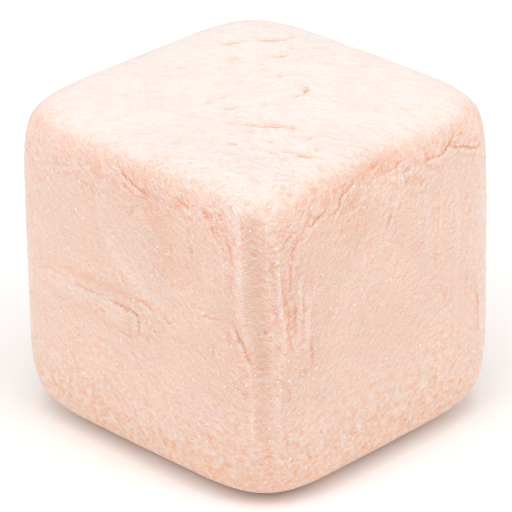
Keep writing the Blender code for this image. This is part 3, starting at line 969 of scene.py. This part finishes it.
def starch_material(settings):
    """Cornflour starch in clumps: a dry matte powder, warm white, lit a little from within."""
    material, node, place = new_material("cornflour starch clumps")
    powder = node(NOISE, {"Vector": place, "Scale": 1 / (0.12 * MM), "Detail": 2.0})[0]
    share = node(MAP_RANGE, {"Value": powder, "From Min": 0.3, "From Max": 0.7})[0]
    colour = node(MIX, {0: share, 6: settings.shade_colour, 7: settings.colour}, data_type="RGBA")[2]
    bump = node("ShaderNodeBump", {"Strength": 1.0, "Distance": 0.02 * MM, "Height": powder})[0]
    rough = node(MAP_RANGE, {"Value": powder, "To Min": 0.85, "To Max": 1.0})[0]
    surface = {
        "Base Color": colour,
        "Roughness": rough,
        "Normal": bump,
        "IOR": 1.53,
        "Specular IOR Level": 0.3,
    }
    finish = node("ShaderNodeBsdfPrincipled", surface)[0]
    node("ShaderNodeOutputMaterial", {"Surface": finish})
    return material


def floor_material(settings):
    """Pale matte paper, with a tooth too fine to see but enough to break its shine."""
    material, node, place = new_material("pale matte paper")
    tooth = node(NOISE, {"Vector": place, "Scale": 1 / (0.8 * MM)})[0]
    rough = node(MAP_RANGE, {"Value": tooth, "To Min": 0.9, "To Max": 1.0})[0]
    surface = {"Base Color": settings.floor_colour, "Roughness": rough, "Specular IOR Level": 0.0}
    finish = node("ShaderNodeBsdfPrincipled", surface)[0]
    node("ShaderNodeOutputMaterial", {"Surface": finish})
    return material


# --- The starch clumps ------------------------------------------------------------------


def starch_tree(sizes, material):
    """The tree that scatters small clumps over the block's skin, gathered in patches."""
    tree = new_tree("Starch clumps", sizes)
    node = partial(add_node, tree)
    given = node("NodeGroupInput")
    place = node("GeometryNodeInputPosition")[0]
    facing = node("GeometryNodeInputNamedAttribute", {"Name": "facing"}, data_type="FLOAT_VECTOR")[0]
    up = node(SEPARATE, [facing])[2]

    # Few lie on the smooth film of the top, and none under the foot
    beside = {"Value": up, "From Min": 0.35, "From Max": 0.8, "To Min": 1.0, "To Max": 0.25}
    beside = node(MAP_RANGE, beside)[0]
    above = node(MAP_RANGE, {"Value": up, "From Min": -0.9, "From Max": -0.6})[0]
    patch = node(NOISE, {"Vector": place, "Scale": 1 / (2.5 * MM), "Detail": 2.0})[0]
    gathered = {"Value": patch, "From Min": 0.42, "From Max": 0.68, "To Min": 0.12, "To Max": 1.0}
    gathered = node(MAP_RANGE, gathered)[0]
    density = beside
    for share in (above, gathered, given["Density"]):
        density = node(MATH, [density, share], operation="MULTIPLY")[0]
    spread = {"Mesh": given["Geometry"], "Density": density, "Seed": given["Seed"]}
    points, _, turn = node("GeometryNodeDistributePointsOnFaces", spread)[:3]

    # A clump's three half sizes lie between these shares of the radius
    clump = node("GeometryNodeMeshIcoSphere", {"Radius": 1.0, "Subdivisions": 1})[0]
    low, high = (0.45, 0.35, 0.25), (1.5, 1.2, 0.7)
    shape = {"Min": low, "Max": high, "Seed": given["Seed"]}
    shape = node("FunctionNodeRandomValue", shape, data_type="FLOAT_VECTOR")[0]
    scale = node(VECTOR_MATH, {0: shape, "Scale": given["Radius"]}, operation="SCALE")[0]
    spin = {"Min": (0, 0, 0), "Max": (0, 0, 2 * math.pi), "Seed": given["Seed"]}
    spin = node("FunctionNodeRandomValue", spin, data_type="FLOAT_VECTOR")[0]
    spun = {"Rotation": turn, "Rotate By": spin}
    spun = node("FunctionNodeRotateRotation", spun, rotation_space="LOCAL")[0]
    laid = {"Points": points, "Instance": clump, "Rotation": spun, "Scale": scale}
    laid = node("GeometryNodeInstanceOnPoints", laid)[0]
    end_tree(node, laid, material)
    return tree


# --- The stage --------------------------------------------------------------------------


def plan_direction(azimuth, elevation):
    """The direction that a view from this azimuth and elevation looks back along."""
    level = math.cos(elevation)
    return Vector((math.sin(azimuth) * level, -math.cos(azimuth) * level, math.sin(elevation)))


def add_softbox(name, azimuth, elevation, settings, power):
    """A square soft light that faces the block."""
    light = bpy.data.lights.new(name, "AREA")
    light.size = settings.softbox_size
    light.energy = power
    back = plan_direction(azimuth, elevation)
    box = new_piece(name, light)
    box.location = Vector((0, 0, HEIGHT / 2)) + back * settings.softbox_distance
    box.rotation_euler = back.to_track_quat("Z", "Y").to_euler()


def add_camera(settings):
    """The camera, which aims a little under the block's middle."""
    back = plan_direction(settings.azimuth, settings.elevation)
    camera = bpy.data.cameras.new("camera")
    camera.lens = settings.lens
    camera.clip_start = 10 * MM
    holder = new_piece("camera", camera)
    target = Vector((0, 0, HEIGHT / 2 - settings.framing_drop))
    roll = Quaternion((0, 0, 1), settings.roll)
    holder.location = target + back * settings.distance
    holder.rotation_euler = (back.to_track_quat("Z", "Y") @ roll).to_euler()
    bpy.context.scene.camera = holder


# --- Settings ---------------------------------------------------------------------------


class BlockSettings(PropertyGroup):
    """Sizes and colours of the foam block"""

    width: FloatProperty(
        name="Width", description="Size along X across the faces", default=WIDTH, unit="LENGTH"
    )
    depth: FloatProperty(
        name="Depth", description="Size along Y across the faces", default=DEPTH, unit="LENGTH"
    )
    height: FloatProperty(name="Height", description="Size along Z", default=HEIGHT, unit="LENGTH")
    plan_squareness: FloatProperty(
        name="Plan squareness", description="How square the block is in plan: 2 is round",
        default=5.6, min=2,
    )
    top_squareness: FloatProperty(
        name="Top squareness", description="How square the upper half is in height", default=8.7, min=2
    )
    base_squareness: FloatProperty(
        name="Base squareness", description="How square the lower half is in height", default=7.1, min=2
    )
    taper_x: FloatProperty(
        name="Taper X", description="Lean of the X faces towards the top", default=-0.016
    )
    taper_y: FloatProperty(
        name="Taper Y", description="Lean of the Y faces towards the top", default=0.012
    )
    foot_share: FloatProperty(
        name="Foot share", description="Share of the half height that the foot is pressed flat",
        default=0.012,
    )
    divisions: IntProperty(
        name="Divisions", description="Faces along each side of the grid", default=128, max=129
    )
    crowding: FloatProperty(
        name="Crowding", description="How strongly the grid gathers towards the edges",
        default=0.5, max=1,
    )
    relief: FloatProperty(
        name="Relief", description="Height that scales the puckers of the skin",
        default=0.05 * MM, unit="LENGTH",
    )
    seed: IntProperty(
        name="Seed", description="Changes the small folds and how every fold wavers", default=7, min=1
    )
    bareness: FloatProperty(
        name="Bareness", description="How bare of starch the sides are", default=0.32, subtype="FACTOR"
    )
    # Painted shade deep in a fold
    fold_shade_colour: FloatVectorProperty(
        name="Fold colour", description="Foam deep in a fold",
        size=4, subtype="COLOR", default=linear("#E59F77"),
    )
    foam_colour: FloatVectorProperty(
        name="Foam colour", description="Foam with no starch",
        size=4, subtype="COLOR", default=linear("#E4AC87"),
    )
    skin_colour: FloatVectorProperty(
        name="Skin colour", description="Thinly starched sides",
        size=4, subtype="COLOR", default=linear("#E9D6CE"),
    )
    starch_colour: FloatVectorProperty(
        name="Starch colour", description="Starch film on top",
        size=4, subtype="COLOR", default=linear("#F1E4DE"),
    )


class StarchSettings(PropertyGroup):
    """Sizes and colours of the starch clumps"""

    density: FloatProperty(
        name="Density", description="Clumps per square metre where they gather", default=0.5e6
    )
    radius: FloatProperty(
        name="Radius", description="Middling radius of a clump", default=0.12 * MM, unit="LENGTH"
    )
    seed: IntProperty(name="Seed", description="Changes where the clumps lie", default=3)
    colour: FloatVectorProperty(
        name="Colour", description="Dry starch", size=4, subtype="COLOR", default=linear("#F8EAE2")
    )
    shade_colour: FloatVectorProperty(
        name="Shade colour", description="Starch stained by the foam",
        size=4, subtype="COLOR", default=linear("#F3DDD1"),
    )


class StageSettings(PropertyGroup):
    """The camera, the floor and the lights"""

    azimuth: FloatProperty(
        name="Azimuth", description="Camera's turn about the block",
        default=math.radians(45), subtype="ANGLE",
    )
    elevation: FloatProperty(
        name="Elevation", description="Camera's height above level",
        default=math.radians(26.4), subtype="ANGLE",
    )
    roll: FloatProperty(
        name="Roll", description="Camera's tilt", default=math.radians(-0.9), subtype="ANGLE"
    )
    distance: FloatProperty(
        name="Distance", description="Camera to block", default=309 * MM, unit="LENGTH"
    )
    lens: FloatProperty(name="Lens", description="Focal length in millimetres", default=262.4)
    framing_drop: FloatProperty(
        name="Framing drop", description="How far under the middle the camera aims",
        default=0.5 * MM, unit="LENGTH",
    )
    floor_size: FloatProperty(
        name="Floor size", description="Side of the floor", default=4.0, unit="LENGTH"
    )
    floor_colour: FloatVectorProperty(
        name="Floor colour", description="Pale matte paper",
        size=4, subtype="COLOR", default=linear("#FBFAF9"),
    )
    daylight: FloatProperty(
        name="Daylight", description="Strength of the even light all round", default=0.53
    )
    softbox_size: FloatProperty(
        name="Softbox size", description="Side of each softbox", default=0.5, unit="LENGTH"
    )
    softbox_distance: FloatProperty(
        name="Softbox distance", description="Softbox to block", default=0.7, unit="LENGTH"
    )
    side_turn: FloatProperty(
        name="Side turn", description="Side softboxes' turn from the camera",
        default=math.radians(64), subtype="ANGLE",
    )
    side_rise: FloatProperty(
        name="Side rise", description="Side softboxes' height above level",
        default=math.radians(34), subtype="ANGLE",
    )
    side_power: FloatProperty(
        name="Side power", description="Power of each side softbox", default=1.58, unit="POWER"
    )
    top_rise: FloatProperty(
        name="Top rise", description="Top softbox's height above level",
        default=math.radians(75), subtype="ANGLE",
    )
    top_power: FloatProperty(
        name="Top power", description="Power of the top softbox", default=2.12, unit="POWER"
    )


# --- Operators --------------------------------------------------------------------------


# The block tree's inputs that are named as their settings are
BLOCK_SIZES = (
    "Crowding",
    "Width",
    "Depth",
    "Height",
    "Plan squareness",
    "Top squareness",
    "Base squareness",
    "Taper X",
    "Taper Y",
    "Foot share",
    "Relief",
)


class MARSHMALLOW_OT_block(Operator):
    """Make the foam block with its strips, hollows and folds"""

    bl_idname = "marshmallow.block"
    bl_label = "Foam block"

    def execute(self, context):
        settings = context.scene.marshmallow_block
        sizes = {"Vertices": settings.divisions + 1}
        for name in BLOCK_SIZES:
            sizes[name] = getattr(settings, name.lower().replace(" ", "_"))
        block = new_piece("foam_block", bpy.data.meshes.new("foam_block"))
        grow(block, block_tree(sizes, foam_material(settings)), sizes)
        noise.seed_set(settings.seed)
        skin = Skin(block.data)
        for side, (depth, left, right) in STRIPS_MM.items():
            skin.press_strip(side, depth * MM, left, right)
        for side, height, half_width, points in RIDGES_MM:
            skin.raise_ridge(side, height * MM, half_width * MM, points)
        skin.crumple_rim()
        for side, depth, points in small_folds(random.Random(settings.seed)):
            skin.press_fold(side, depth * MM, points)
        for side, folds in FOLDS_MM.items():
            for depth, routes in folds.items():
                for points in routes:
                    skin.press_fold(side, depth * MM, points)
        skin.write()
        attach(block, "root")
        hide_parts("marshmallow")
        return {"FINISHED"}


class MARSHMALLOW_OT_starch(Operator):
    """Scatter starch clumps over the block"""

    bl_idname = "marshmallow.starch"
    bl_label = "Starch clumps"

    def execute(self, context):
        settings = context.scene.marshmallow_starch
        block = bpy.data.objects.get("foam_block")
        if block is None:
            raise RuntimeError("make the foam block before its starch clumps")
        sizes = {"Density": settings.density, "Radius": settings.radius, "Seed": settings.seed}
        starch = new_piece("starch_clumps", block.data.copy())
        grow(starch, starch_tree(sizes, starch_material(settings)), sizes)
        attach(starch, "root")
        return {"FINISHED"}


class MARSHMALLOW_OT_stage(Operator):
    """Lay the floor and place the lights and the camera"""

    bl_idname = "marshmallow.stage"
    bl_label = "Stage"

    def execute(self, context):
        settings = context.scene.marshmallow_stage
        half = settings.floor_size / 2
        floor = new_piece("floor", bpy.data.meshes.new("floor"))
        corners = [(-half, -half, 0), (half, -half, 0), (half, half, 0), (-half, half, 0)]
        floor.data.from_pydata(corners, [], [(0, 1, 2, 3)])
        floor.data.materials.append(floor_material(settings))

        world = bpy.data.worlds.new("daylight")
        world.use_nodes = True
        background = world.node_tree.nodes["Background"]
        background.inputs["Color"].default_value = (1, 1, 1, 1)
        background.inputs["Strength"].default_value = settings.daylight
        context.scene.world = world
        context.scene.view_settings.view_transform = "Standard"

        for name, side in (("left softbox", -1), ("right softbox", 1)):
            azimuth = settings.azimuth + side * settings.side_turn
            add_softbox(name, azimuth, settings.side_rise, settings, settings.side_power)
        add_softbox("top softbox", settings.azimuth, settings.top_rise, settings, settings.top_power)
        add_camera(settings)
        return {"FINISHED"}


class MARSHMALLOW_PT_panel(Panel):
    """Settings and build steps of the marshmallow"""

    bl_idname = "MARSHMALLOW_PT_panel"
    bl_label = "Cube Marshmallow"
    bl_space_type = "VIEW_3D"
    bl_region_type = "UI"
    bl_category = "Marshmallow"

    def draw(self, context):
        groups = (
            (context.scene.marshmallow_block, MARSHMALLOW_OT_block),
            (context.scene.marshmallow_starch, MARSHMALLOW_OT_starch),
            (context.scene.marshmallow_stage, MARSHMALLOW_OT_stage),
        )
        for settings, step in groups:
            box = self.layout.box()
            for name in settings.__annotations__:
                box.prop(settings, name)
            box.operator(step.bl_idname)


CLASSES = (
    BlockSettings,
    StarchSettings,
    StageSettings,
    MARSHMALLOW_OT_block,
    MARSHMALLOW_OT_starch,
    MARSHMALLOW_OT_stage,
    MARSHMALLOW_PT_panel,
)


def register():
    for item in CLASSES:
        bpy.utils.register_class(item)
    bpy.types.Scene.marshmallow_block = PointerProperty(type=BlockSettings)
    bpy.types.Scene.marshmallow_starch = PointerProperty(type=StarchSettings)
    bpy.types.Scene.marshmallow_stage = PointerProperty(type=StageSettings)


def unregister():
    del bpy.types.Scene.marshmallow_stage
    del bpy.types.Scene.marshmallow_starch
    del bpy.types.Scene.marshmallow_block
    for item in reversed(CLASSES):
        bpy.utils.unregister_class(item)


def main():
    register()
    bpy.ops.marshmallow.block()
    bpy.ops.marshmallow.starch()
    bpy.ops.marshmallow.stage()


if __name__ == "__main__":
    main()
